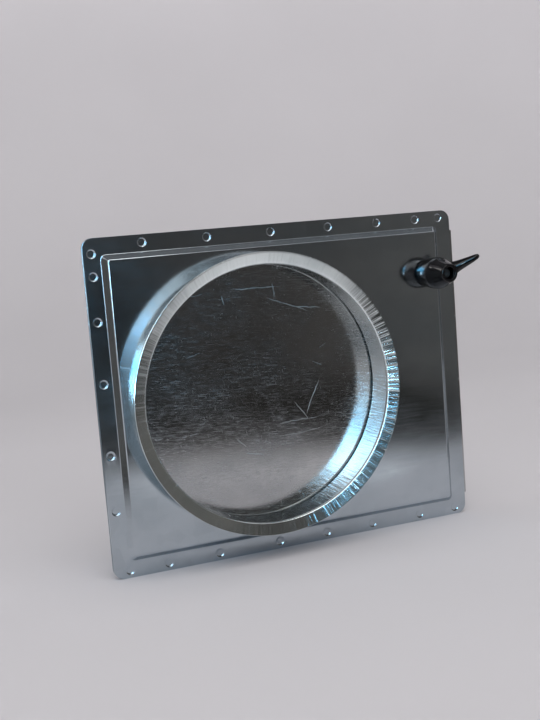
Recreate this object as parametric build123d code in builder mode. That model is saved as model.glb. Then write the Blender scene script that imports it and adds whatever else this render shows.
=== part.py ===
from build123d import *
import math
import os

os.makedirs("parts", exist_ok=True)

# Sliding volume control damper for round duct, in millimetres.
# Two pressed sheet halves are clinched together over three guide bars. A flat blade
# slides between them and closes the duct. A clamping lever on the front half presses
# its stud on the blade and holds it at any opening.
#
# Frame: the origin is on the duct axis, where the front collar's straight bore meets
# its turned-out lip. +X is the way the blade draws out, +Y runs along the duct from
# the front collar to the rear one, and +Z is up.

# Duct and collars
duct_bore = 200.0  # inside diameter of both collars
sheet = 1.0  # thickness of the pressed halves and of the collars
collar_reach = 32.0  # blade's middle plane to the front edge of a collar's lip
lip_diameter = 220.0  # outside diameter of the turned-out lip
lip_bend = 2.0  # bend radius between bore and lip, on the bore side
lip_angle = 12.0  # how far the lip still leans towards the duct, in degrees
foot_width = 4.0  # inner end of the collar, turned out sharply behind the panel
collar_fit = 0.1  # gap between a collar and the hole in its panel

# Housing
housing_height = 260.0
left_reach = 130.0  # duct axis to the closed left edge
right_reach = 182.0  # duct axis to the edge where the blade comes out
corner_radius = 8.0
flange_width = 13.0  # flat rim round the raised panel
panel_step = 4.5  # how far the panel stands out of its rim
ramp_angle = 42.0  # slope of the step, measured from the duct axis
panel_corner = 4.0  # corner radius of the raised panel at its foot
step_bend = 1.0  # smaller bend radius of the step

# Guide bars, which set the slot for the blade
slot = 3.0  # gap between the two rims, filled by the guide bars
guide_width = 16.5
guide_setback = 0.4  # guide bars end this far inside the rim's edge

# Clinch joints through rim, guide bar and rim
clinch_diameter = 6.5
clinch_depth = 0.7
clinch_inset = 6.0  # centre of a joint to the edge of the rim
button_diameter = 7.5
button_height = 0.8
top_shares = (0.145, 0.31, 0.48, 0.64, 0.78, 0.895, 0.965)  # along the side, from the left
bottom_shares = (0.04, 0.14, 0.275, 0.44, 0.575, 0.71, 0.855, 0.965)
left_shares = (0.045, 0.11, 0.24, 0.42, 0.63, 0.795)  # along the side, from the top

# Blade
blade_thickness = 2.0
blade_gap = 0.5  # blade edge to guide bar
lip_gap = 0.5  # pull lip to the edge of the rear half
pull_lip = 16.0  # depth of the pull lip behind the blade's front face
blade_bend = 1.0  # inside bend radius of the pull lip
blade_corner = 5.0
open_margin = 2.0  # blade end past the bore when fully drawn out

# Stop rivets, which keep the blade in the housing
rivet_head = 6.0  # diameter
rivet_shank = 4.0  # diameter
rivet_height = 3.0  # head above the blade
rivet_chamfer = 0.8
rivet_inset = 5.0  # rivet centre to the blade's long edge
stop_gap = 0.3
pin_fit = 0.05  # radial gap of round pins in their holes

# Clamping lever
clamp_inset = 26.0  # clamp axis to the edge where the blade comes out
clamp_drop = 50.5  # clamp axis to the top edge
stud_diameter = 8.0
thread_fit = 0.05  # radial gap between stud and nut
tip_gap = 0.02  # stud tip to blade while clamped
tip_chamfer = 0.8
nut_width = 13.0  # across flats
nut_height = 3.5
nut_pilot = 10.0  # collar of the nut, in the panel's hole
bush_diameter = 11.0
bush_base = 0.6  # heights of the lever's pieces are counted from the panel's face
bush_top = 15.0
bush_web = 0.6  # steel between the stud's hole and the screw's hole
stud_end = 9.8
end_gap = 0.1
tooth_count = 16
tooth_depth = 1.0
tooth_width = 1.2
tooth_height = 3.0
tooth_fit = 0.15
hub_base = 7.0
hub_foot_radius = 9.0
hub_radius = 13.0
hub_belly = 13.0  # where the hub reaches its full radius
hub_shoulder = 20.0  # where the hub starts to narrow
hub_top_radius = 7.4
hub_top = 35.0
hub_round = 6.0  # radius of the hub's belly and shoulder
hub_rim = 1.2  # chamfer round the hub's top
hub_web = 3.0  # plastic between bush and spring
well_radius = 4.9  # well for spring and screw, open at the top
lever_angle = 26.0  # arm above +X while clamped
spring_wire = 0.8  # square wire
spring_coil = 3.6  # coil's middle radius
spring_turns = 4.0
seat_gap = 0.05
screw_diameter = 4.0
screw_head = 7.6
screw_head_height = 2.6
screw_chamfer = 0.6
screw_socket = 2.5  # across flats
socket_depth = 1.7
screw_end = 11.5
head_height = 27.0  # underside of the screw's head

# Lever's arm, which rises outwards from the hub in two tapers
arm_start = 25.0  # height where its middle line leaves the clamp axis
arm_slope = 29.0
arm_lengths = (12.0, 16.0)
arm_radii = (7.0, 4.4, 2.3)  # at the axis, between the tapers and at the rounded tip

# Worked out from the sizes above
bore_radius = duct_bore / 2
lip_turn = 90.0 - lip_angle
lip_bend_end = bore_radius + lip_bend * (1 - math.cos(math.radians(lip_turn)))
lip_lean = math.radians(lip_angle)
lip_length = (lip_diameter / 2 - sheet * math.sin(lip_lean) - lip_bend_end) / math.cos(lip_lean)
lip_depth = lip_bend * math.sin(math.radians(lip_turn)) + lip_length * math.sin(lip_lean)
blade_y = collar_reach - lip_depth
rim_back = slot / 2
rim_front = rim_back + sheet
panel_back = rim_back + panel_step
panel_front = panel_back + sheet
housing_width = left_reach + right_reach
housing_middle = (right_reach - left_reach) / 2
ramp = math.radians(ramp_angle)
inner_inset = sheet * (1 / math.cos(ramp) - math.tan(ramp))
panel_hole = bore_radius + sheet + collar_fit
blade_height = housing_height - 2 * (guide_width + blade_gap)
blade_face = blade_thickness / 2
blade_left = guide_width + blade_gap - left_reach
lip_inside = right_reach + lip_gap
blade_travel = bore_radius + open_margin - blade_left
clamp_x = right_reach - clamp_inset
clamp_z = housing_height / 2 - clamp_drop


def level(height):
    """Plane parallel to the blade, this far in front of its middle plane."""
    return Plane.XZ.offset(height - blade_y)


blade_plane = level(0)


def clinch_points():
    """Centres of the clinch joints along the top, left and bottom rims."""
    top = housing_height / 2 - clinch_inset
    left = clinch_inset - left_reach
    points = [(housing_width * share - left_reach, top) for share in top_shares]
    points += [(housing_width * share - left_reach, -top) for share in bottom_shares]
    points += [(left, housing_height * (0.5 - share)) for share in left_shares]
    return points


# Pressed half: a flat rim round a raised panel, with soft bends at the step
with BuildPart() as pressed_half:
    with BuildSketch(level(rim_back)):
        with Locations((housing_middle, 0)):
            RectangleRounded(housing_width, housing_height, corner_radius)
    extrude(amount=sheet)
    with BuildSketch(level(rim_front)):
        with Locations((housing_middle, 0)):
            RectangleRounded(housing_width - 2 * flange_width,
                             housing_height - 2 * flange_width, panel_corner)
    extrude(amount=panel_step, taper=ramp_angle)
    top_edges = pressed_half.faces().sort_by(Axis.Y)[0].edges()
    fillet(top_edges, step_bend + sheet)
    rim_face = pressed_half.faces().filter_by(Axis.Y).sort_by(Axis.Y)[-2]
    fillet(rim_face.inner_wires()[0].edges(), step_bend)
    with BuildSketch(level(rim_back)):
        with Locations((housing_middle, 0)):
            RectangleRounded(housing_width - 2 * (flange_width + inner_inset),
                             housing_height - 2 * (flange_width + inner_inset), panel_corner)
    extrude(amount=panel_step, taper=ramp_angle, mode=Mode.SUBTRACT)
    with BuildSketch(level(panel_front)):
        Circle(panel_hole)
    extrude(amount=-2 * sheet, mode=Mode.SUBTRACT)

# Front half: pits of the clinch joints and the hole for the clamp nut's collar
with BuildPart() as front_shell:
    add(pressed_half.part)
    with BuildSketch(level(rim_front)):
        with Locations(*clinch_points()):
            Circle(clinch_diameter / 2)
    extrude(amount=-clinch_depth, mode=Mode.SUBTRACT)
    with BuildSketch(level(panel_front)):
        with Locations((clamp_x, clamp_z)):
            Circle(nut_pilot / 2 + collar_fit)
    extrude(amount=-2 * sheet, mode=Mode.SUBTRACT)
front_shell.part.label = "front_shell"
export_step(front_shell.part, "parts/front_shell.step")

# Rear half: the same pressing turned round, with the buttons of the clinch joints
with BuildPart() as rear_shell:
    add(pressed_half.part)
    with BuildSketch(level(rim_front)):
        with Locations(*clinch_points()):
            Circle(button_diameter / 2)
    extrude(amount=button_height)
    mirror(about=blade_plane, mode=Mode.REPLACE)
rear_shell.part.label = "rear_shell"
export_step(rear_shell.part, "parts/rear_shell.step")

# Collar: a rolled ring with its foot turned out behind the panel and its lip turned
# out at the mouth. The profile follows the bore side and is thickened outwards.
foot_face = blade_y - panel_back + sheet
with BuildPart() as front_collar:
    with BuildSketch(Plane.XY):
        with BuildLine():
            foot = Line((bore_radius + foot_width, foot_face), (bore_radius, foot_face))
            wall = Line(foot @ 1, (bore_radius, 0))
            lip_arc = JernArc(wall @ 1, wall % 1, lip_bend, lip_turn)
            PolarLine(lip_arc @ 1, lip_length, -lip_angle)
            offset(amount=sheet, side=Side.LEFT)
        make_face()
    revolve(axis=Axis.Y)
front_collar.part.label = "front_collar"
export_step(front_collar.part, "parts/front_collar.step")

with BuildPart() as rear_collar:
    add(mirror(front_collar.part, about=blade_plane, mode=Mode.PRIVATE))
rear_collar.part.label = "rear_collar"
export_step(rear_collar.part, "parts/rear_collar.step")

# Guide bars: flat bars between the rims, along the top, the bottom and the left side
guide_bar = guide_width - guide_setback
guide_middle = (housing_height - guide_width - guide_setback) / 2
with BuildPart() as top_guide:
    with BuildSketch(level(-rim_back)):
        with Locations((housing_middle, guide_middle)):
            Rectangle(housing_width - 2 * guide_setback, guide_bar)
        fillet(vertices().group_by(Axis.Y)[-1], corner_radius - guide_setback)
    extrude(amount=slot)
top_guide.part.label = "top_guide"
export_step(top_guide.part, "parts/top_guide.step")

with BuildPart() as bottom_guide:
    add(mirror(top_guide.part, about=Plane.XY, mode=Mode.PRIVATE))
bottom_guide.part.label = "bottom_guide"
export_step(bottom_guide.part, "parts/bottom_guide.step")

with BuildPart() as left_guide:
    with BuildSketch(level(-rim_back)):
        with Locations((guide_setback + guide_bar / 2 - left_reach, 0)):
            Rectangle(guide_bar, housing_height - 2 * guide_width)
    extrude(amount=slot)
left_guide.part.label = "left_guide"
export_step(left_guide.part, "parts/left_guide.step")

# Blade: a flat sheet whose right end is bent back behind the housing as a pull lip
stop_face = right_reach - flange_width - (blade_face + rivet_height - rim_back) * math.tan(ramp)
rivet_x = stop_face - inner_inset - stop_gap - rivet_head / 2 - blade_travel
rivet_z = blade_height / 2 - rivet_inset
with BuildPart() as blade:
    with BuildSketch(Plane.XY.offset(-blade_height / 2)):
        with BuildLine():
            outer_bend = blade_bend + blade_thickness
            front = Line((blade_left, blade_y - blade_face),
                         (lip_inside - blade_bend, blade_y - blade_face))
            bend = JernArc(front @ 1, front % 1, outer_bend, 90)
            PolarLine(bend @ 1, pull_lip - outer_bend, 90)
            offset(amount=blade_thickness, side=Side.LEFT)
        make_face()
    extrude(amount=blade_height)
    fillet(blade.edges().filter_by(Axis.Y).group_by(Axis.X)[0], blade_corner)
    fillet(blade.edges().filter_by(Axis.X).group_by(Axis.Y)[-1], blade_corner)
    with BuildSketch(level(blade_face)):
        with Locations((rivet_x, rivet_z), (rivet_x, -rivet_z)):
            Circle(rivet_shank / 2 + pin_fit)
    extrude(amount=-blade_thickness, mode=Mode.SUBTRACT)
blade.part.label = "blade"
export_step(blade.part, "parts/blade.step")

# Stop rivets: their heads run in the pocket behind the front panel and meet its right
# step when the blade has cleared the duct
with BuildPart() as stop_rivets:
    with BuildSketch(level(-blade_face)):
        with Locations((rivet_x, rivet_z), (rivet_x, -rivet_z)):
            Circle(rivet_shank / 2)
    extrude(amount=blade_thickness)
    with BuildSketch(level(blade_face)):
        with Locations((rivet_x, rivet_z), (rivet_x, -rivet_z)):
            Circle(rivet_head / 2)
    extrude(amount=rivet_height)
    chamfer(stop_rivets.faces().sort_by(Axis.Y)[0:2].edges(), rivet_chamfer)
stop_rivets.part.label = "stop_rivets"
export_step(stop_rivets.part, "parts/stop_rivets.step")

# Clamp: its pieces are turned about the clamp axis. The profile plane has the radius
# along its x and the height above the panel's front face along its y.
clamp_origin = Vector(clamp_x, blade_y - panel_front, clamp_z)
clamp_axis = Axis(clamp_origin, (0, -1, 0))
clamp_profile = Plane(origin=clamp_origin, x_dir=(1, 0, 0), z_dir=(0, 0, -1))


def above_panel(height):
    """Plane across the clamp axis at this height above the panel's front face."""
    return Plane(origin=clamp_origin + Vector(0, -height, 0), x_dir=(1, 0, 0), z_dir=(0, -1, 0))


# Clamp nut: welded behind the panel, with its collar in the panel's hole
with BuildPart() as clamp_nut:
    with BuildSketch(above_panel(-sheet)):
        RegularPolygon(nut_width / 2, 6, major_radius=False)
    extrude(amount=-nut_height)
    with BuildSketch(above_panel(-sheet)):
        Circle(nut_pilot / 2)
    extrude(amount=sheet)
    with BuildSketch(above_panel(0)):
        Circle(stud_diameter / 2 + thread_fit)
    extrude(amount=-sheet - nut_height, mode=Mode.SUBTRACT)
clamp_nut.part.label = "clamp_nut"
export_step(clamp_nut.part, "parts/clamp_nut.step")

# Clamp stud: threaded through the nut, its tip presses on the blade
stud_tip = blade_face + tip_gap - panel_front
with BuildPart() as clamp_stud:
    with BuildSketch(above_panel(stud_tip)):
        Circle(stud_diameter / 2)
    extrude(amount=stud_end - stud_tip)
    chamfer(clamp_stud.edges().group_by(Axis.Y)[-1], tip_chamfer)
clamp_stud.part.label = "clamp_stud"
export_step(clamp_stud.part, "parts/clamp_stud.step")

# Lever bush: a steel sleeve fixed on the stud, with teeth round its upper end
tooth_top = bush_diameter / 2
tooth_root = tooth_top - tooth_depth
with BuildPart() as lever_bush:
    with BuildSketch(above_panel(bush_base)):
        Circle(bush_diameter / 2)
    extrude(amount=bush_top - tooth_height - bush_base)
    with BuildSketch(above_panel(bush_top - tooth_height)):
        Circle(tooth_root)
        with PolarLocations(tooth_root, tooth_count):
            Rectangle(2 * tooth_depth - 4 * tooth_fit, tooth_width)
    extrude(amount=tooth_height)
    with BuildSketch(above_panel(bush_base)):
        Circle(stud_diameter / 2 + pin_fit)
    extrude(amount=stud_end + end_gap - bush_base, mode=Mode.SUBTRACT)
    with BuildSketch(above_panel(stud_end + end_gap + bush_web)):
        Circle(screw_diameter / 2 + pin_fit)
    extrude(amount=bush_top - stud_end, mode=Mode.SUBTRACT)
lever_bush.part.label = "lever_bush"
export_step(lever_bush.part, "parts/lever_bush.step")

# Lever screw: holds the lever and its spring on the bush
with BuildPart() as lever_screw:
    with BuildSketch(above_panel(screw_end)):
        Circle(screw_diameter / 2)
    extrude(amount=head_height - screw_end)
    with BuildSketch(above_panel(head_height)):
        Circle(screw_head / 2)
    extrude(amount=screw_head_height)
    chamfer(lever_screw.edges().group_by(Axis.Y)[0], screw_chamfer)
    with BuildSketch(above_panel(head_height + screw_head_height)):
        RegularPolygon(screw_socket / 2, 6, major_radius=False)
    extrude(amount=-socket_depth, mode=Mode.SUBTRACT)
lever_screw.part.label = "lever_screw"
export_step(lever_screw.part, "parts/lever_screw.step")

# Lever spring: sits on the hub's web under the screw's head and holds the lever down
spring_base = bush_top + end_gap + hub_web + seat_gap
spring_length = head_height - seat_gap - spring_base
with BuildPart() as lever_spring:
    with BuildLine():
        coil = Helix(pitch=(spring_length - spring_wire) / spring_turns,
                     height=spring_length - spring_wire, radius=spring_coil,
                     center=clamp_origin + Vector(0, -spring_base - spring_wire / 2, 0),
                     direction=(0, -1, 0))
    with BuildSketch(Plane(origin=coil @ 0, z_dir=coil % 0)):
        Rectangle(spring_wire, spring_wire)
    sweep(is_frenet=True)
lever_spring.part.label = "lever_spring"
export_step(lever_spring.part, "parts/lever_spring.step")

# Clamping lever: a turned hub on the bush, from which a tapered arm rises outwards
arm_rise = math.radians(arm_slope)
arm_swing = math.radians(lever_angle)
arm_along = Vector(math.cos(arm_rise) * math.cos(arm_swing), -math.sin(arm_rise),
                   math.cos(arm_rise) * math.sin(arm_swing))


def arm_plane(reach):
    """Plane across the arm at this distance along its middle line."""
    start = clamp_origin + Vector(0, -arm_start, 0)
    return Plane(origin=start + arm_along * reach, z_dir=arm_along)


bush_room = bush_diameter / 2 + tooth_fit
well_floor = bush_top + end_gap + hub_web
with BuildPart() as clamp_lever:
    with BuildSketch(clamp_profile):
        with BuildLine():
            Polyline((0, hub_base), (hub_foot_radius, hub_base), (hub_radius, hub_belly),
                     (hub_radius, hub_shoulder), (hub_top_radius, hub_top), (0, hub_top),
                     close=True)
        make_face()
        fillet(vertices().group_by(Axis.X)[-1], hub_round)
        chamfer(vertices().group_by(Axis.Y)[-1].sort_by(Axis.X)[-1], hub_rim)
    revolve(axis=clamp_axis)
    with Locations(arm_plane(0)):
        Cone(arm_radii[0], arm_radii[1], arm_lengths[0], align=(Align.CENTER, Align.CENTER, Align.MIN))
    with Locations(arm_plane(arm_lengths[0])):
        Cone(arm_radii[1], arm_radii[2], arm_lengths[1], align=(Align.CENTER, Align.CENTER, Align.MIN))
    with Locations(arm_plane(sum(arm_lengths))):
        Sphere(arm_radii[2])
    with BuildSketch(above_panel(hub_base)):
        Circle(bush_room)
    extrude(amount=bush_top - tooth_height - hub_base, mode=Mode.SUBTRACT)
    with BuildSketch(above_panel(bush_top - tooth_height)):
        Circle(tooth_root + tooth_fit)
        with PolarLocations(tooth_root, tooth_count):
            Rectangle(2 * tooth_depth - 2 * tooth_fit, tooth_width + 2 * tooth_fit)
    extrude(amount=tooth_height + end_gap, mode=Mode.SUBTRACT)
    with BuildSketch(above_panel(bush_top)):
        Circle(screw_diameter / 2 + 2 * end_gap)
    extrude(amount=well_floor - bush_top, mode=Mode.SUBTRACT)
    with BuildSketch(above_panel(well_floor)):
        Circle(well_radius)
    extrude(amount=2 * hub_top, mode=Mode.SUBTRACT)
clamp_lever.part.label = "clamp_lever"
export_step(clamp_lever.part, "parts/clamp_lever.step")
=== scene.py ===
import bpy
import bmesh
import math
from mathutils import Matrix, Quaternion, Vector, noise
from mathutils.geometry import delaunay_2d_cdt


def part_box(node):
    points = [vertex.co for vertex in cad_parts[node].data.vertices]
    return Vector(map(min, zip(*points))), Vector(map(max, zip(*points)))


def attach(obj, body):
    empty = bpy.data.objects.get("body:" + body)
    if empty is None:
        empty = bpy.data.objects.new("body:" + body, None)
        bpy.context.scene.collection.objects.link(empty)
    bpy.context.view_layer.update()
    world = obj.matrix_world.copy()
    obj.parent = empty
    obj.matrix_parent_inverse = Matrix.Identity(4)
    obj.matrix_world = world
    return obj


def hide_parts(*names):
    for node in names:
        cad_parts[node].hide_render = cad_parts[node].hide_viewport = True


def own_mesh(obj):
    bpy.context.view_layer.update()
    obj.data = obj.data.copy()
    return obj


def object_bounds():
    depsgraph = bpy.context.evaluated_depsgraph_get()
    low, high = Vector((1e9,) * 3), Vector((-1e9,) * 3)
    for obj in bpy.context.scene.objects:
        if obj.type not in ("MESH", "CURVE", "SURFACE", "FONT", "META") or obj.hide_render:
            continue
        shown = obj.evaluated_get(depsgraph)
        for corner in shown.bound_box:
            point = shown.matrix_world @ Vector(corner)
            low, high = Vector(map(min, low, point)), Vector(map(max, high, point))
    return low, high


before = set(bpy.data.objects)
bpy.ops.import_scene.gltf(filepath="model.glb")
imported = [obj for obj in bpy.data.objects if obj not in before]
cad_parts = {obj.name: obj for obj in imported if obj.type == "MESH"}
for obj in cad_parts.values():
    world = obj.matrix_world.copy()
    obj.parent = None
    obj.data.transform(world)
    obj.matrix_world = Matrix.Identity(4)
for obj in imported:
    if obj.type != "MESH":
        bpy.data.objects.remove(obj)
cad_lo, cad_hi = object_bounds()


# Zinc-coated sheet: the finish of both pressed halves.
# Hot-dip galvanised steel with a faint spangle, fine marks from the rolls and dull stains
# where the zinc has been handled.
mm = 0.001


def blank_material(name):
    """A new material's node tree, its shader and the material."""
    material = bpy.data.materials.new(name)
    material.use_nodes = True
    return material.node_tree, material.node_tree.nodes["Principled BSDF"], material


def add_node(tree, kind, **settings):
    """A node of this kind, with its settings, and its inputs as in_<name>=value or socket."""
    made = tree.nodes.new("ShaderNode" + kind)
    for key, value in settings.items():
        if not key.startswith("in_"):
            setattr(made, key, value)
    for key, value in settings.items():
        if key.startswith("in_"):
            wanted = key[3:].replace("_", " ")
            socket = made.inputs[int(wanted)] if wanted.isdigit() else made.inputs[wanted]
            if isinstance(value, bpy.types.NodeSocket):
                tree.links.new(value, socket)
            else:
                socket.default_value = value
    return made


def maths(tree, operation, *values):
    """The result of a Math node on these values or sockets."""
    inputs = {"in_" + str(index): value for index, value in enumerate(values)}
    return add_node(tree, "Math", operation=operation, **inputs).outputs[0]


def stretched(tree, scale, turn=0.0):
    """Object coordinates, turned about the duct axis and stretched by scale."""
    place = add_node(tree, "TexCoord").outputs["Object"]
    turned = add_node(tree, "Mapping", in_Vector=place, in_Rotation=(0, math.radians(turn), 0))
    return add_node(tree, "Mapping", in_Vector=turned.outputs[0], in_Scale=scale).outputs[0]


def speckle(tree, scale, detail=3.0, turn=0.0):
    """Noise from 0 to 1 with this many lumps to the metre along x, y and z."""
    place = stretched(tree, scale, turn)
    noisy = add_node(tree, "TexNoise", in_Vector=place, in_Scale=1.0, in_Detail=detail)
    return noisy.outputs[0]


def apart(tree, vector=None):
    """The x, y and z of a vector, or of the place on the object."""
    if vector is None:
        vector = add_node(tree, "TexCoord").outputs["Object"]
    return add_node(tree, "SeparateXYZ", in_0=vector).outputs


def spread(tree, value, low, high, at_low, at_high):
    """Maps value from low..high to at_low..at_high, held at the ends."""
    return add_node(tree, "MapRange", in_Value=value, in_From_Min=low, in_From_Max=high,
                    in_To_Min=at_low, in_To_Max=at_high).outputs[0]


def blend_colours(tree, factor, first, second):
    """Colour between first and second."""
    return add_node(tree, "Mix", data_type="RGBA", in_Factor=factor, in_6=first,
                    in_7=second).outputs[2]


def zinc_material(name, base, dull, roughness, scratch_gain):
    """Galvanised steel of this colour, with rolled grain, spangle, stains and hair scratches."""
    spangle_to_metre, spangle_tone = 85, 0.04
    tree, shader, material = blank_material(name)
    shader.inputs["Metallic"].default_value = 1.0
    crystals = stretched(tree, (spangle_to_metre, spangle_to_metre, spangle_to_metre))
    cells = add_node(tree, "TexVoronoi", in_Vector=crystals, in_Scale=1.0,
                     in_Randomness=1.0).outputs["Color"]
    spangle = spread(tree, cells, 0.0, 1.0, -spangle_tone, spangle_tone)
    grain = speckle(tree, (40, 40, 500), 5.0)
    stains = spread(tree, speckle(tree, (16, 16, 22), 5.0), 0.38, 0.66, 0.0, 1.0)
    hair = speckle(tree, (30, 30, 2600), 2.0, 37.0)
    hair = spread(tree, hair, 0.68, 0.76, 0.0, scratch_gain)
    colour = blend_colours(tree, stains, base, dull)
    lift = maths(tree, "ADD", maths(tree, "ADD", spangle, hair), 1.0)
    shaded = add_node(tree, "VectorMath", operation="SCALE", in_0=colour, in_Scale=lift)
    tree.links.new(shaded.outputs[0], shader.inputs["Base Color"])
    rough = spread(tree, grain, 0.3, 0.7, roughness - 0.02, roughness + 0.02)
    rough = maths(tree, "ADD", rough, spread(tree, stains, 0.0, 1.0, -0.02, 0.05))
    tree.links.new(rough, shader.inputs["Roughness"])
    ripple = maths(tree, "ADD", grain, hair)
    bump = add_node(tree, "Bump", in_Height=ripple, in_Strength=0.03, in_Distance=0.05 * mm)
    tree.links.new(bump.outputs[0], shader.inputs["Normal"])
    return material


bright_zinc = zinc_material("bright_zinc", (0.50, 0.55, 0.59, 1), (0.44, 0.49, 0.525, 1),
                            0.14, 0.12)


# Front and rear pressed halves: 1 mm sheet with a flat rim, a bent step and a raised panel.
# Press joints through the rim hold the halves together. They are pits in front and round
# buttons at the back, and the panel is left a little wavy by the press.
front_lo, front_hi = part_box("front_shell")
rear_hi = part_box("rear_shell")[1]
sheet = 1.0 * mm
blade_plane = (front_lo.y + rear_hi.y) / 2
rim_height = blade_plane - (front_hi.y - sheet)
panel_height = blade_plane - front_lo.y
rim_corner = 8.0 * mm
rim_width = 13.0 * mm
step_corner = 4.2 * mm
ramp_slope = math.radians(48.0)
foot_bend = 1.0 * mm
brow_bend = 2.0 * mm
duct_hole = 101.1 * mm
nut_hole = 5.1 * mm
press_wave, roll_wave = 0.16, 0.035
clamp = Vector((front_hi.x - 26.0 * mm, front_hi.z - 50.5 * mm))
joint_inset = 6.0 * mm
joints_along_top = (0.145, 0.31, 0.48, 0.64, 0.78, 0.895, 0.965)
joints_along_bottom = (0.04, 0.14, 0.275, 0.44, 0.575, 0.71, 0.855, 0.965)
joints_down_left = (0.045, 0.11, 0.24, 0.42, 0.63, 0.795)


def rounded_outline(inset, corner):
    """The housing's outline this far inside its edge, as points in x and z."""
    right, top = front_hi.x - inset - corner, front_hi.z - inset - corner
    left, bottom = front_lo.x + inset + corner, front_lo.z + inset + corner
    points = []
    for x, z, start in ((right, top, 0), (left, top, 90), (left, bottom, 180),
                        (right, bottom, 270)):
        for step in range(7):
            turn = math.radians(start + 15 * step)
            points.append(Vector((x + corner * math.cos(turn), z + corner * math.sin(turn))))
    return points


def circle(centre, radius, count):
    """Points round a circle in x and z."""
    turns = [2 * math.pi * step / count for step in range(count)]
    return [centre + radius * Vector((math.cos(turn), math.sin(turn))) for turn in turns]


def joint_centres():
    """Centres of the press joints, along the top, the bottom and the left rim."""
    wide, high = front_hi.x - front_lo.x, front_hi.z - front_lo.z
    top, bottom = front_hi.z - joint_inset, front_lo.z + joint_inset
    left = front_lo.x + joint_inset
    centres = [Vector((front_lo.x + wide * share, top)) for share in joints_along_top]
    centres += [Vector((front_lo.x + wide * share, bottom)) for share in joints_along_bottom]
    centres += [Vector((left, front_hi.z - high * share)) for share in joints_down_left]
    return centres


def step_profile():
    """Inset, corner radius and height of the loops that bend the sheet from rim to panel."""
    corner_tightening = 0.55
    rise = panel_height - rim_height
    run = rise / math.tan(ramp_slope)
    foot_reach = foot_bend * math.tan(ramp_slope / 2)
    brow_reach = brow_bend * math.tan(ramp_slope / 2)
    rows = []
    for step in range(5):
        angle = ramp_slope * step / 4
        rows.append((rim_width - foot_reach + foot_bend * math.sin(angle),
                     rim_height + foot_bend * (1 - math.cos(angle))))
    for step in range(8):
        angle = ramp_slope * (1 - step / 7)
        rows.append((rim_width + run + brow_reach - brow_bend * math.sin(angle),
                     panel_height - brow_bend * (1 - math.cos(angle))))
    start = rim_width - foot_reach
    return [(inset, step_corner - corner_tightening * (inset - start), height)
            for inset, height in rows]


def finish_sheet(piece, edge):
    """Gives a surface its sheet thickness, a fine broken edge and even shading."""
    solid = piece.modifiers.new("thickness", "SOLIDIFY")
    solid.thickness = sheet
    solid.offset = -1.0
    bevel = piece.modifiers.new("broken_edge", "BEVEL")
    bevel.width = edge
    bevel.segments = 2
    bevel.limit_method = "ANGLE"
    bevel.angle_limit = math.radians(62)
    piece.modifiers.new("even_shading", "WEIGHTED_NORMAL").weight = 60


def add_piece(name, points, faces, material):
    """A smooth-shaded mesh object."""
    mesh = bpy.data.meshes.new(name)
    mesh.from_pydata(points, [], faces)
    mesh.polygons.foreach_set("use_smooth", [True] * len(mesh.polygons))
    mesh.materials.append(material)
    piece = bpy.data.objects.new(name, mesh)
    bpy.context.scene.collection.objects.link(piece)
    return piece


def wavy_spots(seed):
    """Points spread over the rim and the panel, clear of every edge, and their heights."""
    step_start, step_end = rim_width - 2.0 * mm, rim_width + 7.0 * mm
    spacing, margin, joint_margin = 6.0 * mm, 1.5 * mm, 5.6 * mm
    wave_fades_over, rim_waviness = 20 * mm, 0.25
    centres = joint_centres()
    columns = int((front_hi.x - front_lo.x) / spacing)
    rows = int((front_hi.z - front_lo.z) / spacing)
    spots, heights = [], []
    for column in range(columns):
        for row in range(rows):
            shift = 1.2 * mm * math.sin(7.0 * column + 13.0 * row)
            spot = Vector((front_lo.x + spacing * (column + 0.6) + shift,
                           front_lo.z + spacing * (row + 0.6) - shift))
            inset = min(spot.x - front_lo.x, front_hi.x - spot.x,
                        spot.y - front_lo.z, front_hi.z - spot.y)
            close = inset < margin or step_start < inset < step_end
            close = close or spot.length < duct_hole + margin
            close = close or (spot - clamp).length < nut_hole + margin
            close = close or any((spot - centre).length < joint_margin for centre in centres)
            if close:
                continue
            on_panel = inset > rim_width
            reach = (inset - step_end) / wave_fades_over if on_panel else rim_waviness
            slow = noise.noise(Vector((spot.x * 22 + seed, spot.y * 22, seed)))
            fast = noise.noise(Vector((spot.x * 60, spot.y * 60 + seed, 3.0)))
            wave = slow * press_wave * mm + fast * roll_wave * mm
            spots.append(spot)
            level = panel_height if on_panel else rim_height
            heights.append(level + wave * min(max(reach, 0), 1))
    return spots, heights


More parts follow.
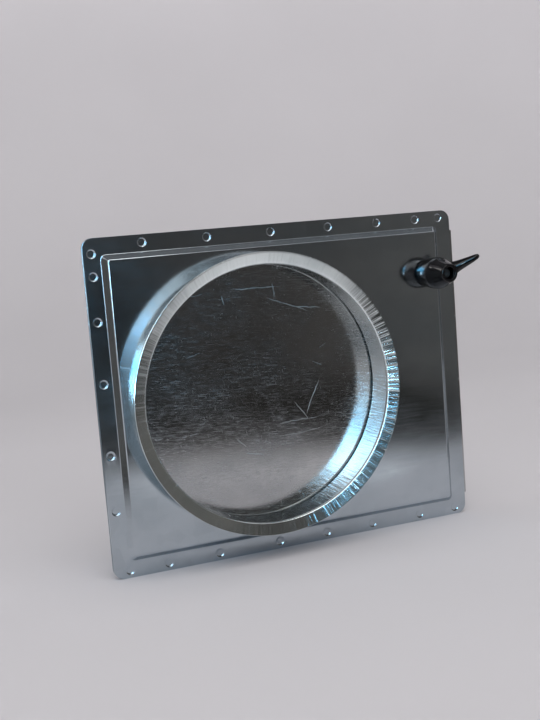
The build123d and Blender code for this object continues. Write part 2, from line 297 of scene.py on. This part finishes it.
def pressed_half(name, side, joint_rings, seed):
    """One half: side is -1 in front and 1 behind, joint_rings are radius and height."""
    duct = Vector((0.0, 0.0))
    loops = [(rounded_outline(0.0, rim_corner), rim_height)]
    loops += [(rounded_outline(inset, corner), height)
              for inset, corner, height in step_profile()]
    loops.append((circle(duct, duct_hole, 160), panel_height))
    if side < 0:
        loops.append((circle(clamp, nut_hole, 32), panel_height))
    for centre in joint_centres():
        loops += [(circle(centre, radius, 24), rim_height + height)
                  for radius, height in joint_rings]
    flat, heights, edges = [], [], []
    for loop, height in loops:
        first, count = len(flat), len(loop)
        flat += loop
        heights += [height] * count
        edges += [(first + step, first + (step + 1) % count) for step in range(count)]
    spots, spot_heights = wavy_spots(seed)
    flat += spots
    heights += spot_heights
    points, _, faces, sources, _, _ = delaunay_2d_cdt(flat, edges, [], 0, 1e-7, True)
    placed = []
    for point, source in zip(points, sources):
        placed.append((point.x, blade_plane + side * heights[source[0]], point.y))
    kept = []
    for face in faces:
        middle = sum((points[corner] for corner in face), Vector((0.0, 0.0))) / len(face)
        in_nut_hole = side < 0 and (middle - clamp).length < nut_hole * 0.99
        if middle.length > duct_hole * 0.9995 and not in_nut_hole:
            kept.append(face if side < 0 else face[::-1])
    piece = add_piece(name, placed, kept, bright_zinc)
    finish_sheet(piece, 0.12 * mm)
    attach(piece, "housing")
    return piece


# Rings of one press joint, as radius and height, from its edge to its middle.
pit = ((4.4 * mm, 0.0), (3.75 * mm, 0.05 * mm), (3.4 * mm, 0.0), (3.05 * mm, -0.28 * mm),
       (2.7 * mm, -0.46 * mm), (2.2 * mm, -0.50 * mm), (1.0 * mm, -0.46 * mm))
button = ((4.3 * mm, 0.0), (3.85 * mm, 0.12 * mm), (3.6 * mm, 0.60 * mm), (3.2 * mm, 0.78 * mm),
          (1.6 * mm, 0.72 * mm))
front_half = pressed_half("front_half_sheet", -1, pit, 1.7)
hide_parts("front_shell")
rear_half = pressed_half("rear_half_sheet", 1, button, 8.3)
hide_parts("rear_shell")


# Collars: a ring of the same sheet on each face, its foot hemmed and turned out behind the
# panel, and its mouth rolled out into a flared lip. The rolling stretches the lip, so it is
# finely puckered across its width, most of all at the right.
collar_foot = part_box("front_collar")[1].y
bore = 100.0 * mm
foot_radius = 104.0 * mm
lip_start = 1.2 * mm
lip_bend = 2.0 * mm
lip_turn = math.radians(70.0)
lip_edge = 109.6 * mm
foot_hem = ((2.35, 0.0), (2.3, 1.5), (2.0, 2.1), (1.3, 2.4), (0.6, 2.2), (0.15, 1.6),
            (0.0, 0.8))


def around_duct(tree):
    """The angle round the duct axis, in radians, as a socket."""
    place = apart(tree)
    return maths(tree, "ARCTAN2", place[2], place[0])


def puckered_zinc_material():
    """Bright rolled zinc with fine marks that run over the lip and along the bore."""
    puckers_to_radius, puckers_to_metre = 62.0, 40.0
    puckered_most_at, pucker_depth = math.radians(28), 0.5 * mm
    tree, shader, material = blank_material("puckered_zinc")
    shader.inputs["Metallic"].default_value = 1.0
    turn = around_duct(tree)
    along_duct = apart(tree)[1]
    ray = add_node(tree, "CombineXYZ", in_0=maths(tree, "COSINE", turn),
                   in_1=maths(tree, "SINE", turn)).outputs[0]
    spun = add_node(tree, "VectorMath", operation="SCALE", in_0=ray, in_Scale=puckers_to_radius)
    spun = apart(tree, spun.outputs[0])
    spun = add_node(tree, "CombineXYZ", in_0=spun[0], in_1=spun[1],
                    in_2=maths(tree, "MULTIPLY", along_duct, puckers_to_metre)).outputs[0]
    pucker = add_node(tree, "TexNoise", in_Vector=spun, in_Scale=1.0, in_Detail=4.0).outputs[0]
    near = maths(tree, "COSINE", maths(tree, "ADD", turn, puckered_most_at))
    strength = spread(tree, near, 0.25, 0.92, 0.06, 0.85)
    stains = spread(tree, speckle(tree, (26, 26, 26), 5.0), 0.40, 0.66, 0.0, 1.0)
    colour = blend_colours(tree, stains, (0.82, 0.87, 0.87, 1), (0.68, 0.74, 0.745, 1))
    tree.links.new(colour, shader.inputs["Base Color"])
    rough = spread(tree, stains, 0.0, 1.0, 0.11, 0.18)
    rough = maths(tree, "ADD", rough, spread(tree, pucker, 0.5, 0.7, 0.0, 0.12))
    tree.links.new(rough, shader.inputs["Roughness"])
    bump = add_node(tree, "Bump", in_Height=pucker, in_Strength=strength,
                    in_Distance=pucker_depth)
    tree.links.new(bump.outputs[0], shader.inputs["Normal"])
    return material


def collar_profile():
    """Radius and distance along the duct axis on the bore side, from foot to lip's edge."""
    rows = [(foot_radius, collar_foot)]
    rows += [(bore + out * mm, collar_foot + back * mm) for out, back in foot_hem]
    run = collar_foot - lip_start
    rows += [(bore, collar_foot - step * run / 6) for step in range(7)]
    for step in range(1, 8):
        angle = lip_turn * step / 7
        rows.append((bore + lip_bend * (1 - math.cos(angle)),
                     lip_start - lip_bend * math.sin(angle)))
    radius, along = rows[-1]
    for step in range(1, 7):
        reach = (lip_edge - radius) * step / 6
        rows.append((radius + reach, along - reach / math.tan(lip_turn)))
    return rows


def drawn_back(turn, seed):
    """How far the lip's edge is drawn back at this angle round the duct, in metres."""
    spot = Vector((math.cos(turn), math.sin(turn)))
    at_right = max(math.cos(turn + math.radians(12)), 0.0) ** 4
    close = at_right + 0.25 * max(-math.sin(turn), 0.0) ** 2 + 0.05
    fine = abs(noise.noise(Vector((spot.x * 42, spot.y * 42, seed))))
    slow = abs(noise.noise(Vector((spot.x * 4, spot.y * 4, seed + 9))))
    return (0.62 * fine * close + 0.16 * slow) * mm


def edge_ripple(turn, seed):
    """How far the lip's edge strays outwards at this angle, in metres."""
    return noise.noise(Vector((math.cos(turn) * 9, math.sin(turn) * 9, seed + 5))) * 0.12 * mm


def rolled_collar(name, node, mirrored, seed):
    """One collar, revolved about the duct axis."""
    profile = collar_profile()
    around = 720
    points, faces = [], []
    for column in range(around):
        turn = 2 * math.pi * column / around
        depth = drawn_back(turn, seed)
        ragged = edge_ripple(turn, seed)
        for radius, along in profile:
            reach = max(radius - bore, 0) / (lip_edge - bore) if along < lip_start else 0
            y = along + depth * reach ** 1.3
            out = radius + ragged * reach ** 4
            y = 2 * blade_plane - y if mirrored else y
            points.append((out * math.cos(turn), y, out * math.sin(turn)))
    count = len(profile)
    for column in range(around):
        here, there = column * count, (column + 1) % around * count
        for row in range(count - 1):
            face = (here + row, there + row, there + row + 1, here + row + 1)
            faces.append(face if mirrored else face[::-1])
    piece = add_piece(name, points, faces, puckered_zinc)
    finish_sheet(piece, 0.22 * mm)
    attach(piece, "housing")
    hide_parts(node)


puckered_zinc = puckered_zinc_material()
rolled_collar("front_collar_ring", "front_collar", False, 0.0)
rolled_collar("rear_collar_ring", "rear_collar", True, 2.0)


# Guide bars: flat 3 mm bars between the rims, in which the blade runs.
# They are cut from plain zinc-coated bar, and only their edges show.
bar_zinc = zinc_material("bar_zinc", (0.42, 0.44, 0.46, 1), (0.33, 0.35, 0.37, 1), 0.36, 0.1)


def refinish(names, material):
    """Gives these CAD pieces this finish."""
    for name in names:
        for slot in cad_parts[name].material_slots:
            slot.material = material


refinish(("top_guide", "bottom_guide", "left_guide"), bar_zinc)


# Blade: 2 mm zinc-coated sheet that slides between the guide bars, its right end bent sharply
# back as a pull lip. Sliding and handling have left fine ticks all over it and a few long
# scratches, each given by its middle in x and z, slope in degrees, length and strength.
scratches = (
    (0.004, 0.081, -2, 0.055, 0.42), (0.030, 0.066, -21, 0.050, 0.40),
    (0.047, 0.062, -8, 0.030, 0.42), (0.046, -0.011, 63, 0.036, 0.55),
    (0.036, -0.021, -53, 0.026, 0.38), (-0.008, -0.050, -10, 0.022, 0.40),
    (-0.018, -0.040, -42, 0.014, 0.30), (0.036, -0.028, 2, 0.060, 0.30),
    (0.036, -0.038, 4, 0.054, 0.26), (0.019, 0.078, -80, 0.014, 0.40),
    (-0.024, 0.074, -78, 0.010, 0.36), (-0.046, 0.080, 5, 0.018, 0.22),
    (0.058, 0.030, 30, 0.010, 0.34), (0.052, 0.016, -24, 0.012, 0.34),
    (-0.052, 0.034, 8, 0.018, 0.26), (0.020, -0.046, 6, 0.020, 0.22),
    (-0.060, -0.028, 4, 0.022, 0.24), (0.008, -0.064, 3, 0.030, 0.18))


def scratch_mark(tree, place, wobble, x, z, slope, length, strength):
    """One long scratch as a value from 0 to its strength, with faded ends."""
    core, edge = 0.12 * mm, 0.45 * mm
    cos, sin = math.cos(math.radians(slope)), math.sin(math.radians(slope))
    dx = maths(tree, "SUBTRACT", place[0], x)
    dz = maths(tree, "SUBTRACT", place[2], z)
    far = maths(tree, "MULTIPLY_ADD", dx, cos, maths(tree, "MULTIPLY", dz, sin))
    off = maths(tree, "MULTIPLY_ADD", dx, -sin, maths(tree, "MULTIPLY_ADD", dz, cos, wobble))
    ends = spread(tree, maths(tree, "ABSOLUTE", far), length * 0.2, length * 0.5, strength, 0.0)
    line = spread(tree, maths(tree, "ABSOLUTE", off), core, edge, 1.0, 0.0)
    return maths(tree, "MULTIPLY", ends, line)


def worn_blade_material():
    """Bright zinc dulled by fine ticks along and across the blade, and by single scratches."""
    tree, shader, material = blank_material("worn_blade_zinc")
    shader.inputs["Metallic"].default_value = 1.0
    smears = spread(tree, speckle(tree, (24, 24, 28), 5.0), 0.35, 0.68, 0.0, 1.0)
    wear = spread(tree, speckle(tree, (30, 30, 30), 4.0), 0.36, 0.62, 0.85, 1.0)
    along = spread(tree, speckle(tree, (190, 60, 2100), 2.0), 0.59, 0.76, 0.0, 0.19)
    across = spread(tree, speckle(tree, (2100, 60, 210), 2.0, 3.0), 0.61, 0.78, 0.0, 0.19)
    pricks = spread(tree, speckle(tree, (1300, 200, 1300), 2.0), 0.71, 0.79, 0.0, 0.32)
    fine = spread(tree, speckle(tree, (150, 60, 1500), 2.0, -4.0), 0.46, 0.70, 0.0, 0.15)
    marks = maths(tree, "MAXIMUM", along, across)
    marks = maths(tree, "MAXIMUM", marks, fine)
    marks = maths(tree, "MAXIMUM", marks, pricks)
    marks = maths(tree, "MULTIPLY", marks, wear)
    place = apart(tree)
    wobble = spread(tree, speckle(tree, (90, 90, 90), 3.0), 0.0, 1.0, -1.6 * mm, 1.6 * mm)
    broken = spread(tree, speckle(tree, (420, 420, 420), 2.0), 0.34, 0.54, 0.5, 1.0)
    for scratch in scratches:
        mark = scratch_mark(tree, place, wobble, *scratch)
        marks = maths(tree, "MAXIMUM", marks, maths(tree, "MULTIPLY", mark, broken))
    dull = blend_colours(tree, smears, (0.50, 0.50, 0.50, 1), (0.42, 0.425, 0.43, 1))
    colour = blend_colours(tree, marks, dull, (0.80, 0.81, 0.82, 1))
    tree.links.new(colour, shader.inputs["Base Color"])
    rough = maths(tree, "MULTIPLY_ADD", marks, 0.9, spread(tree, smears, 0.0, 1.0, 0.11, 0.17))
    tree.links.new(rough, shader.inputs["Roughness"])
    ripple = speckle(tree, (30, 30, 30), 3.0)
    wave = add_node(tree, "Bump", in_Height=ripple, in_Strength=0.10, in_Distance=0.5 * mm)
    bump = add_node(tree, "Bump", in_Height=marks, in_Strength=0.35, in_Distance=0.05 * mm,
                    in_Normal=wave.outputs[0], invert=True)
    tree.links.new(bump.outputs[0], shader.inputs["Normal"])
    return material


blade_lo, blade_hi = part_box("blade")
blade_sheet = 2.0 * mm
blade_corner = 5.0 * mm
pull_bend = 0.6 * mm
pull_crook = 0.2 * mm


def eased(length):
    """Distances from an end of the blade, close together where its corners are round."""
    return [length * (1 - math.cos(math.radians(15 * step))) for step in range(7)]


def blade_stations():
    """Outer and inner points of the section in x and y, and how far each is from an end."""
    columns = 40
    front, back = blade_lo.y, blade_lo.y + blade_sheet
    outside, inside = blade_hi.x, blade_hi.x - blade_sheet
    stations = [((blade_lo.x + along, front), (blade_lo.x + along, back), along)
                for along in eased(blade_corner)]
    for step in range(1, columns):
        x = blade_lo.x + (inside - pull_crook - blade_lo.x) * step / columns
        stations.append(((x, front), (x, back), blade_corner))
    for step in range(7):
        turn = math.radians(15 * step)
        sine, rest = math.sin(turn), 1 - math.cos(turn)
        outer = (outside - pull_bend * (1 - sine), front + pull_bend * rest)
        inner = (inside - pull_crook * (1 - sine), back + pull_crook * rest)
        stations.append((outer, inner, blade_corner))
    for along in [2 * blade_corner] + eased(blade_corner)[::-1]:
        y = blade_hi.y - along
        stations.append(((outside, y), (inside, y), min(along, blade_corner)))
    return stations


def bent_blade():
    """The blade with its pull lip bent sharply back, and its four corners rounded."""
    stations = blade_stations()
    points, faces = [], []
    rows = 24
    for outer, inner, along in stations:
        rounding = math.sqrt(max(blade_corner ** 2 - (blade_corner - along) ** 2, 0.0))
        half = blade_hi.z - blade_corner + rounding
        for x, y in (outer, inner):
            points += [(x, y, half * (2 * row / rows - 1)) for row in range(rows + 1)]
    side = rows + 1
    for station in range(len(stations) - 1):
        here, there = station * 2 * side, (station + 1) * 2 * side
        back_here, back_there = here + side, there + side
        for row in range(rows):
            faces.append((here + row, there + row, there + row + 1, here + row + 1))
            faces.append((back_here + row + 1, back_there + row + 1, back_there + row,
                          back_here + row))
        faces.append((here, back_here, back_there, there))
        faces.append((here + rows, there + rows, back_there + rows, back_here + rows))
    last = (len(stations) - 1) * 2 * side
    for row in range(rows):
        faces.append((row, row + 1, side + row + 1, side + row))
        faces.append((last + row, last + side + row, last + side + row + 1, last + row + 1))
    return add_piece("drawn_blade", points, faces, worn_blade_material())


blade_piece = bent_blade()
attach(blade_piece, "blade")
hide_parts("blade")
softened = blade_piece.modifiers.new("broken_edge", "BEVEL")
softened.width = 0.2 * mm
softened.segments = 2
softened.limit_method = "ANGLE"
softened.angle_limit = math.radians(50)
blade_piece.modifiers.new("even_shading", "WEIGHTED_NORMAL").weight = 60


# Stop rivets, clamp nut, stud and screw: turned steel, zinc plated, and the toothed bush, which
# is blackened. The rivets stop the blade at the end of its travel, and the stud clamps it.
def plated_material(name, colour, roughness):
    """Plated or drawn steel with turning marks."""
    tree, shader, material = blank_material(name)
    shader.inputs["Metallic"].default_value = 1.0
    cloud = speckle(tree, (260, 260, 260), 4.0)
    paler = tuple(min(channel * 1.25, 1.0) for channel in colour[:3]) + (1,)
    tree.links.new(blend_colours(tree, cloud, colour, paler), shader.inputs["Base Color"])
    rings = speckle(tree, (40, 3200, 40), 3.0)
    tree.links.new(spread(tree, rings, 0.3, 0.7, roughness - 0.06, roughness + 0.08),
                   shader.inputs["Roughness"])
    bump = add_node(tree, "Bump", in_Height=rings, in_Strength=0.2, in_Distance=0.03 * mm)
    tree.links.new(bump.outputs[0], shader.inputs["Normal"])
    return material


refinish(("stop_rivets", "clamp_nut", "clamp_stud"),
         plated_material("plated_steel", (0.50, 0.51, 0.50, 1), 0.26))
refinish(("lever_screw",), plated_material("dull_plate", (0.12, 0.12, 0.12, 1), 0.34))
refinish(("lever_bush",), plated_material("black_oxide", (0.030, 0.030, 0.032, 1), 0.30))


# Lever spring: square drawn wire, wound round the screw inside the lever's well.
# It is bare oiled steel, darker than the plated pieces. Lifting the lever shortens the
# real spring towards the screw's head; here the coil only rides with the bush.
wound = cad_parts["lever_spring"]
spring_steel = plated_material("spring_wire", (0.30, 0.31, 0.32, 1), 0.30)
spring_coil = bpy.data.objects.new("spring_coil", wound.data.copy())
spring_coil.data.materials.clear()
spring_coil.data.materials.append(spring_steel)
spring_coil.matrix_world = wound.matrix_world
bpy.context.scene.collection.objects.link(spring_coil)
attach(spring_coil, "bush")
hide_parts("lever_spring")
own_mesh(spring_coil)


# Clamping lever: one moulding of gloss black plastic. A round hub sits on the toothed bush,
# with a well for spring and screw, and a tapered arm rises out of its side.
panel_face = front_lo.y
hub_outline = (
    (7.1, 12.1), (6.2, 12.0), (6.0, 7.0), (9.3, 7.0), (9.3, 1.2), (10.6, 0.9), (11.5, 1.5),
    (12.2, 6.0), (12.7, 10.0), (12.9, 13.4), (13.0, 16.5), (12.85, 18.6), (12.2, 20.9),
    (11.1, 23.8), (9.6, 28.4), (8.0, 33.2), (7.5, 34.3), (6.6, 34.95), (5.2, 35.0), (4.9, 34.7),
    (4.9, 18.1), (2.3, 18.1), (2.3, 15.1), (5.8, 15.1))
arm_swing = math.radians(26.0)
arm_sections = (
    (8.2, 28.6, 27, 11.2, 10.0), (10.5, 30.2, 28, 9.6, 8.8), (13.5, 31.9, 29, 8.3, 7.7),
    (17.0, 34.0, 30, 7.3, 6.8), (20.5, 36.0, 28, 6.2, 5.8), (23.5, 37.5, 26, 5.3, 5.0),
    (25.8, 38.5, 24, 4.6, 4.3), (27.4, 39.2, 24, 3.4, 3.2), (28.2, 39.5, 24, 1.6, 1.5))


def add_hub(shape):
    """Adds the hub, turned about the stud from radii and heights over the panel, in mm."""
    around = 72
    rings = []
    for radius, height in hub_outline:
        ring = []
        for column in range(around):
            turn = 2 * math.pi * column / around
            ring.append(shape.verts.new((clamp.x + radius * mm * math.cos(turn),
                                         panel_face - height * mm,
                                         clamp.y + radius * mm * math.sin(turn))))
        rings.append(ring)
    for index, ring in enumerate(rings):
        after = rings[(index + 1) % len(rings)]
        for column in range(around):
            beside = (column + 1) % around
            shape.faces.new((ring[column], ring[beside], after[beside], after[column]))


def add_arm(shape):
    """Adds the arm from oval sections: reach, height, slope in degrees, width and depth."""
    around = 32
    outward = Vector((math.cos(arm_swing), 0, math.sin(arm_swing)))
    across = Vector((-math.sin(arm_swing), 0, math.cos(arm_swing)))
    previous = None
    for reach, height, slope, width, depth in arm_sections:
        rise = math.radians(slope)
        up = Vector((0, -math.cos(rise), 0)) - outward * math.sin(rise)
        middle = Vector((clamp.x, panel_face - height * mm, clamp.y)) + outward * reach * mm
        ring = []
        for column in range(around):
            turn = 2 * math.pi * column / around
            ring.append(shape.verts.new(middle + across * width / 2 * mm * math.cos(turn)
                                        + up * depth / 2 * mm * math.sin(turn)))
        if previous is None:
            shape.faces.new(ring[::-1])
        else:
            for column in range(around):
                beside = (column + 1) % around
                shape.faces.new((previous[column], previous[beside], ring[beside], ring[column]))
        previous = ring
    shape.faces.new(previous)


def lever_moulding():
    """Hub and arm, melted together and smoothed as in the mould."""
    shape = bmesh.new()
    add_hub(shape)
    add_arm(shape)
    bmesh.ops.recalc_face_normals(shape, faces=shape.faces)
    mesh = bpy.data.meshes.new("lever_grip")
    shape.to_mesh(mesh)
    shape.free()
    piece = bpy.data.objects.new("lever_grip", mesh)
    bpy.context.scene.collection.objects.link(piece)
    melt = piece.modifiers.new("one_moulding", "REMESH")
    melt.mode = "VOXEL"
    melt.voxel_size = 0.42 * mm
    melt.use_smooth_shade = True
    soften = piece.modifiers.new("soft_corners", "SMOOTH")
    soften.factor = 0.5
    soften.iterations = 5
    return piece


def gloss_black_material():
    """Black plastic with a moulded gloss, faint flow marks and dust-fine grain."""
    tree, shader, material = blank_material("gloss_black_plastic")
    flow = speckle(tree, (90, 90, 90), 3.0)
    tree.links.new(blend_colours(tree, flow, (0.003, 0.003, 0.004, 1), (0.007, 0.007, 0.008, 1)),
                   shader.inputs["Base Color"])
    tree.links.new(spread(tree, flow, 0.3, 0.7, 0.05, 0.08), shader.inputs["Roughness"])
    shader.inputs["Specular IOR Level"].default_value = 0.38
    grain = speckle(tree, (1500, 1500, 1500), 2.0)
    bump = add_node(tree, "Bump", in_Height=grain, in_Strength=0.05, in_Distance=0.02 * mm)
    tree.links.new(bump.outputs[0], shader.inputs["Normal"])
    return material


lever_grip = lever_moulding()
lever_grip.data.materials.append(gloss_black_material())
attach(lever_grip, "lever")
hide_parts("clamp_lever")


# Studio: a pale paper sweep that turns up all round, with no corner.
# The object stands on it upright, on the lower edge of its housing.
def sweep_profile():
    """Radius and height of the sweep, from the middle to the top of its wall."""
    floor, flat_reach, turn_up, wall_top, bends = cad_lo.z, 1.1, 0.7, 2.6, 12
    rows = [(reach, floor) for reach in (0.0, 0.4, 0.8, flat_reach)]
    for step in range(1, bends + 1):
        angle = math.radians(90 * step / bends)
        rows.append((flat_reach + turn_up * math.sin(angle),
                     floor + turn_up * (1 - math.cos(angle))))
    rows.append((flat_reach + turn_up, floor + wall_top))
    return rows


def band_faces(here, there, count):
    """Faces between two rows of count points that start at here and there."""
    return [(here + row, there + row, there + row + 1, here + row + 1)
            for row in range(count - 1)]


def studio_sweep():
    """The round sweep: pale paper, with painted light that makes it lighter up the wall and a
    little darker on the floor.
    """
    profile, around = sweep_profile(), 64
    count = len(profile)
    points, faces = [], []
    for column in range(around):
        turn = 2 * math.pi * column / around
        points += [(radius * math.cos(turn), radius * math.sin(turn), height)
                   for radius, height in profile]
        faces += band_faces(column * count, (column + 1) % around * count, count)
    tree, shader, material = blank_material("pale_paper")
    tone = speckle(tree, (3, 3, 3), 2.0)
    paper = blend_colours(tree, tone, (0.545, 0.535, 0.545, 1), (0.590, 0.580, 0.592, 1))
    # Painted light: the paper's colour is scaled from 0.94 on the floor to 1.24 up the wall.
    wall = spread(tree, apart(tree)[2], -0.05, 0.7, 0.94, 1.24)
    shaded = add_node(tree, "VectorMath", operation="SCALE", in_0=paper, in_Scale=wall)
    tree.links.new(shaded.outputs[0], shader.inputs["Base Color"])
    shader.inputs["Roughness"].default_value = 0.9
    shader.inputs["Specular IOR Level"].default_value = 0.0
    add_piece("paper_sweep", points, faces, material)


studio_sweep()


# Lamps: a broad soft box overhead and a fill in front light the paper and the object evenly.
# Windows in front, behind and above show only as reflections in the metal, and dark cards
# stand where flat metal would mirror nothing but paper.
# Painted shade: the dark cards are sheets seen only in the metal's reflections, standing for the
# dim room around the object.
def soft_box(name, bearing, distance, level, size, power, colour):
    """A rectangular area lamp, this many degrees right of straight ahead, facing the object."""
    lamp = bpy.data.lights.new(name, "AREA")
    lamp.shape = "RECTANGLE"
    lamp.size, lamp.size_y = size
    lamp.energy = power
    lamp.color = colour
    holder = bpy.data.objects.new(name, lamp)
    turn = math.radians(bearing)
    holder.location = (distance * math.sin(turn), -distance * math.cos(turn), level)
    holder.rotation_euler = (-holder.location).to_track_quat("-Z", "Y").to_euler()
    holder.visible_camera = False
    bpy.context.scene.collection.objects.link(holder)
    return holder


def window_box(name, bearing, level, size, power, colour):
    """A soft box that only mirrors in the object and throws no light on the paper."""
    window_distance = 1.45
    window = soft_box(name, bearing, window_distance, level, size, power, colour)
    window.visible_diffuse = False


overhead_box = soft_box("overhead_box", -5, 0.7, 2.2, (3.0, 3.0), 54, (1.0, 0.99, 1.0))
overhead_box.visible_glossy = False
front_fill = soft_box("front_fill", -10, 1.7, 1.1, (2.2, 1.2), 14, (0.98, 0.99, 1.0))
front_fill.visible_glossy = False
for side, bearing, gain in (("front", -10, 1.0), ("rear", -110, 2.0)):
    window_box(side + "_blue_window", bearing - 2, 0.24, (0.42, 0.64), 6.6 * gain,
               (0.12, 0.60, 1.0))
    window_box(side + "_small_window", bearing - 5.8, 0.06, (0.11, 0.22), 1.3 * gain,
               (0.80, 0.95, 1.0))
    window_box(side + "_high_window", bearing - 8, 0.86, (0.80, 0.90), 3.3 * gain,
               (1.0, 0.98, 0.95))
window_box("top_window", 8, 1.95, (0.9, 0.9), 6.0, (1.0, 0.99, 0.97))


def card_material(name):
    """Painted shade for the dark cards: black cloth, a little uneven and lighter far to either
    side, that fades out over the paper towards the object.
    """
    tree, shader, material = blank_material(name)
    cloud = spread(tree, speckle(tree, (2.4, 2.4, 2.4), 2.0), 0.35, 0.65, 0.0, 1.0)
    cloth = blend_colours(tree, cloud, (0.016, 0.0145, 0.0120, 1), (0.090, 0.086, 0.080, 1))
    place = add_node(tree, "TexCoord").outputs["Object"]
    sideways = maths(tree, "ABSOLUTE", apart(tree, place)[0])
    # Painted reflection: the cloth is made lighter far to either side, so the metal mirrors a
    # lighter room there.
    edge = spread(tree, sideways, 0.44, 0.62, 0.0, 1.0)
    cloth = blend_colours(tree, edge, cloth, (0.135, 0.130, 0.120, 1))
    flat = add_node(tree, "VectorMath", operation="MULTIPLY", in_0=place, in_1=(1, 1, 0))
    away = add_node(tree, "VectorMath", operation="LENGTH", in_0=flat.outputs[0])
    fade = spread(tree, away.outputs["Value"], 0.28, 0.42, 0.0, 1.0)
    colour = blend_colours(tree, fade, (0.70, 0.70, 0.71, 1), cloth)
    tree.links.new(colour, shader.inputs["Base Color"])
    shader.inputs["Roughness"].default_value = 0.9
    shader.inputs["Specular IOR Level"].default_value = 0.0
    return material


def dark_card(name, left, right, near, height):
    """A curved card between two bearings, seen only in reflections. Its foot runs in over the
    paper as far as near, and a card with no foot has near at its own distance."""
    distance, lift, columns = 1.08, 0.002, 12
    rows = ((distance, height), (distance, lift)) + (((near, lift),) if near < distance else ())
    count = len(rows)
    corners, faces = [], []
    for column in range(columns + 1):
        turn = math.radians(left + (right - left) * column / columns)
        corners += [(reach * math.sin(turn), -reach * math.cos(turn), cad_lo.z + level)
                    for reach, level in rows]
    for column in range(columns):
        faces += band_faces(column * count, (column + 1) * count, count)
    # Painted shade: a dark sheet that only the metal mirrors.
    card = add_piece(name, corners, faces, painted_shade_cloth)
    card.visible_camera = False
    card.visible_diffuse = False
    card.visible_shadow = False
    card.visible_transmission = False


painted_shade_cloth = card_material("painted_shade_cloth")
for half, bearing in (("front", 0), ("rear", 180)):
    dark_card(half + "_card", bearing - 2, bearing + 56, 0.20, 1.05)
    dark_card(half + "_low_card", bearing - 12, bearing - 2, 0.20, 0.33)
    dark_card(half + "_side_card", bearing - 106, bearing - 62, 0.35, 1.05)
dark_card("wing_card", 56, 68, 1.08, 1.05)

world = bpy.data.worlds.new("studio_air")
world.use_nodes = True
world.node_tree.nodes["Background"].inputs["Color"].default_value = (0.82, 0.82, 0.84, 1)
world.node_tree.nodes["Background"].inputs["Strength"].default_value = 0.22
bpy.context.scene.world = world


# Camera: a little left of the duct axis and slightly above it, with a normal lens.
view_azimuth, view_rise, view_roll = -21.82, 7.09, -4.54
view_distance = 0.8715
aim = Vector(((front_lo.x + front_hi.x) / 2 - 0.015, front_hi.y - 0.001, 0.0233))
azimuth, rise = math.radians(view_azimuth), math.radians(view_rise)
towards_camera = Vector((math.sin(azimuth) * math.cos(rise),
                         -math.cos(azimuth) * math.cos(rise), math.sin(rise)))
lens = bpy.data.cameras.new("camera")
lens.lens = 55.0
lens.sensor_width = 36.0
camera = bpy.data.objects.new("camera", lens)
camera.location = aim + towards_camera * view_distance
camera.rotation_mode = "QUATERNION"
level_view = (-towards_camera).to_track_quat("-Z", "Y")
camera.rotation_quaternion = level_view @ Quaternion((0, 0, 1), math.radians(view_roll))
bpy.context.scene.collection.objects.link(camera)
bpy.context.scene.camera = camera
bpy.context.scene.view_settings.view_transform = "Standard"
